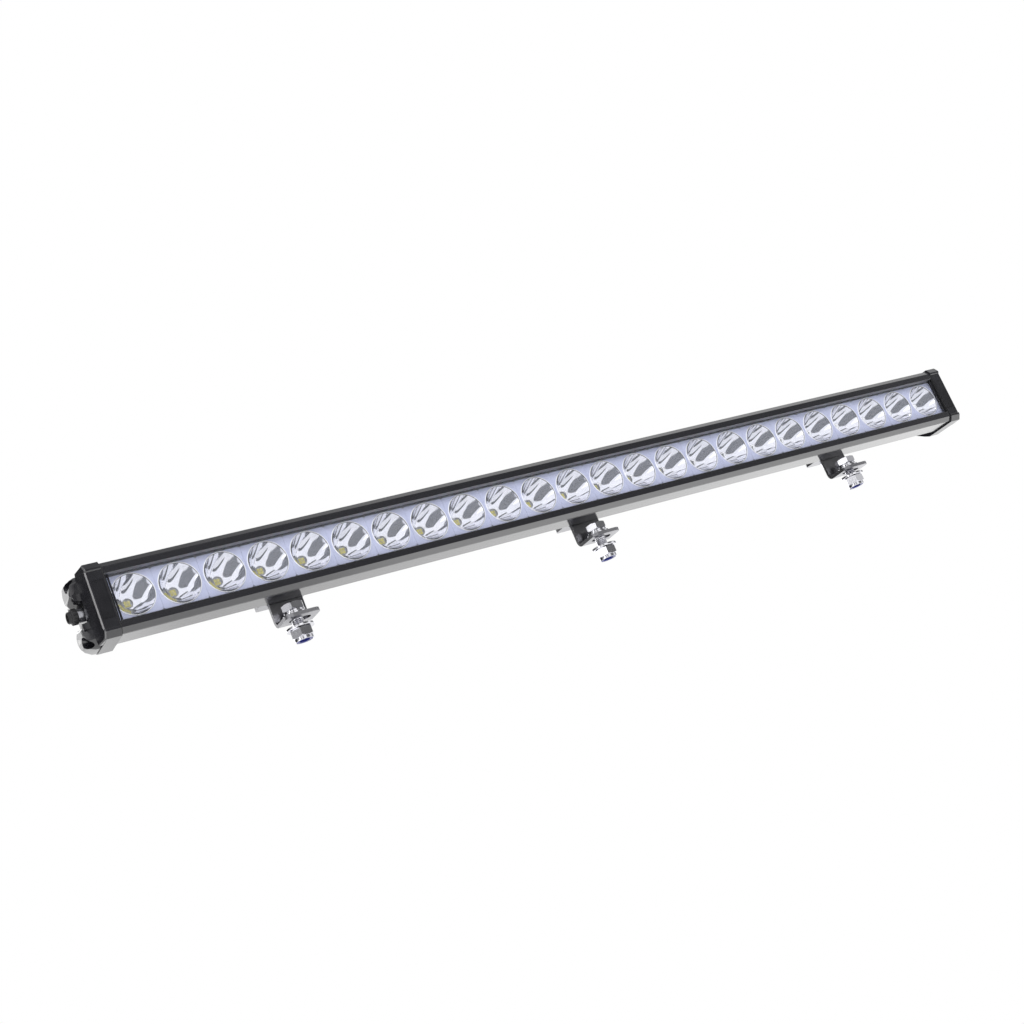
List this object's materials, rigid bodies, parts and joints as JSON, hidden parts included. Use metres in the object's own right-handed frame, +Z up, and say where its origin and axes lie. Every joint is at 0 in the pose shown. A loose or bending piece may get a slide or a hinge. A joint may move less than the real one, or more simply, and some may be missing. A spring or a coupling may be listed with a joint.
{
  "type": "led light bar",
  "caption": "Long black vehicle light bar with a row of round silver reflectors behind a clear lens, on slotted steel feet that slide along its back.",
  "frame": {"origin": "middle of the slot in the middle foot, on the plane of the feet's undersides", "axes": "+X along the bar to the right seen from the front; the light shines towards -Y; +Z up, from the feet to the housing"},
  "size_m": [0.9525, 0.0605, 0.1012],
  "materials": {
    "housing_black": "satin black anodised extrusion",
    "cap_black": "satin black powder coat on die-cast metal",
    "lens_clear": "clear polished polycarbonate",
    "seal_black": "matt black silicone",
    "reflector_silver": "vacuum-metallised, slightly lavender",
    "led_white": "matt ceramic white",
    "led_yellow": "yellow phosphor under clear resin",
    "board_white": "white solder mask",
    "board_green": "green solder mask",
    "pad_grey": "grey heat-conducting pad",
    "part_dark": "dark moulded component bodies",
    "capacitor_grey": "grey aluminium cans",
    "wire_red": "insulated wire",
    "screw_steel": "plated steel",
    "bracket_steel": "polished stainless sheet",
    "fastener_steel": "bright stainless fasteners",
    "insert_blue": "blue nylon locking ring",
    "badge_black": "gloss black, blank",
    "gland_nickel": "nickel-plated brass",
    "gland_black": "matt black nylon"
  },
  "bodies": {
    "light_bar": {"housing": "housing_black", "lens_cover": "lens_clear", "lens_gasket": "seal_black", "reflector_1": "reflector_silver", "reflector_2": "reflector_silver", "reflector_3": "reflector_silver", "reflector_4": "reflector_silver", "reflector_5": "reflector_silver", "reflector_6": "reflector_silver", "reflector_7": "reflector_silver", "reflector_8": "reflector_silver", "led_board_left": "board_white", "led_board_right": "board_white", "led_packages": "led_white", "led_phosphors": "led_yellow", "thermal_pad": "pad_grey", "board_screws": "screw_steel", "driver_board": "board_green", "driver_inductors": "part_dark", "driver_capacitors": "capacitor_grey", "driver_chips": "part_dark", "supply_wires": "wire_red", "end_cap_left": "cap_black", "end_cap_right": "cap_black", "end_gasket_left": "seal_black", "end_gasket_right": "seal_black", "cap_screws_left": "screw_steel", "cap_screws_right": "screw_steel", "badge_left": "badge_black", "badge_right": "badge_black", "gland_body": "gland_nickel", "gland_nut": "gland_black", "gland_seal": "seal_black", "breather_plug": "gland_black", "breather_seal": "seal_black"},
    "foot_left": {"clamp_bolt_left": "fastener_steel", "bracket_left": "bracket_steel", "clamp_washer_left": "fastener_steel", "clamp_nut_left": "fastener_steel"},
    "bolt_left": {"foot_bolt_left": "fastener_steel", "foot_washer_left": "fastener_steel", "foot_nut_left": "fastener_steel", "nut_insert_left": "insert_blue"},
    "foot_middle": {"clamp_bolt_middle": "fastener_steel", "bracket_middle": "bracket_steel", "clamp_washer_middle": "fastener_steel", "clamp_nut_middle": "fastener_steel"},
    "bolt_middle": {"foot_bolt_middle": "fastener_steel", "foot_washer_middle": "fastener_steel", "foot_nut_middle": "fastener_steel", "nut_insert_middle": "insert_blue"},
    "foot_right": {"clamp_bolt_right": "fastener_steel", "bracket_right": "bracket_steel", "clamp_washer_right": "fastener_steel", "clamp_nut_right": "fastener_steel"},
    "bolt_right": {"foot_bolt_right": "fastener_steel", "foot_washer_right": "fastener_steel", "foot_nut_right": "fastener_steel", "nut_insert_right": "insert_blue"}
  },
  "joints": [
    {"name": "foot_left_slide", "type": "slide", "parent": "light_bar", "child": "foot_left", "axis": [1, 0, 0], "range_m": [-0.12, 0.12]},
    {"name": "bolt_left_slide", "type": "slide", "parent": "foot_left", "child": "bolt_left", "axis": [1, 0, 0], "range_m": [-0.0015, 0.0065]},
    {"name": "foot_middle_slide", "type": "slide", "parent": "light_bar", "child": "foot_middle", "axis": [1, 0, 0], "range_m": [-0.12, 0.12]},
    {"name": "bolt_middle_slide", "type": "slide", "parent": "foot_middle", "child": "bolt_middle", "axis": [1, 0, 0], "range_m": [-0.0025, 0.0055]},
    {"name": "foot_right_slide", "type": "slide", "parent": "light_bar", "child": "foot_right", "axis": [1, 0, 0], "range_m": [-0.12, 0.12]},
    {"name": "bolt_right_slide", "type": "slide", "parent": "foot_right", "child": "bolt_right", "axis": [1, 0, 0], "range_m": [-0.0025, 0.0055]}
  ]
}
